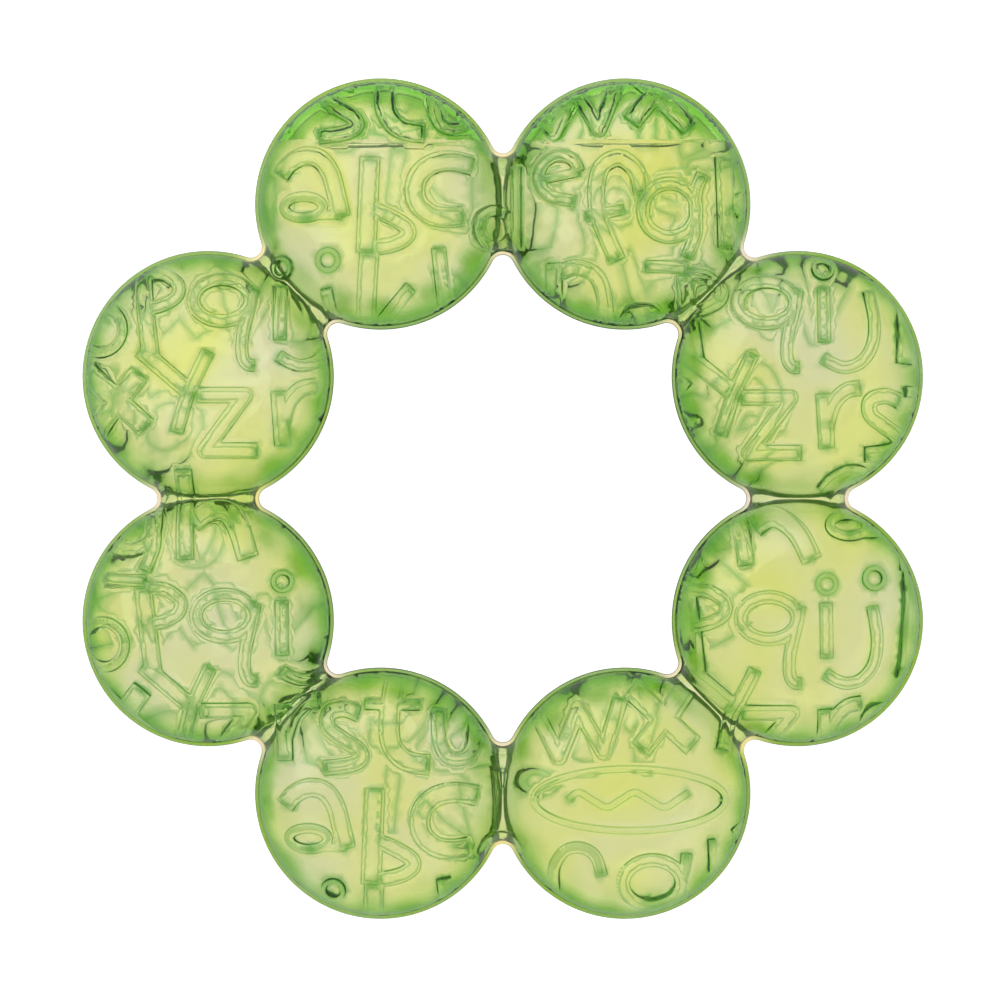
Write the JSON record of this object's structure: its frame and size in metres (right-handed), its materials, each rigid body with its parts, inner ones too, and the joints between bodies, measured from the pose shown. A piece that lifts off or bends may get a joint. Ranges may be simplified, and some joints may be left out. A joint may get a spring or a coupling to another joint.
{
  "type": "teething ring",
  "caption": "Water-filled teething ring: a circle of cushion-shaped pods joined by short hollow necks, in clear green soft plastic with raised letters.",
  "frame": {"origin": "centre of the ring on the welded seam plane", "axes": "+Z is the ring's axis, out of the front face; +Y points to the side where the air pocket sits, and to the neck that holds the filling port in its back; the ring lies flat on its back face"},
  "size_m": [0.105, 0.105, 0.015],
  "materials": {
    "clear_green_eva": "gloss",
    "water": "polished",
    "plug_eva": "gloss"
  },
  "bodies": {
    "root": {"front_shell": "clear_green_eva", "back_shell": "clear_green_eva", "water_fill": "water", "fill_plug": "plug_eva"}
  },
  "joints": []
}
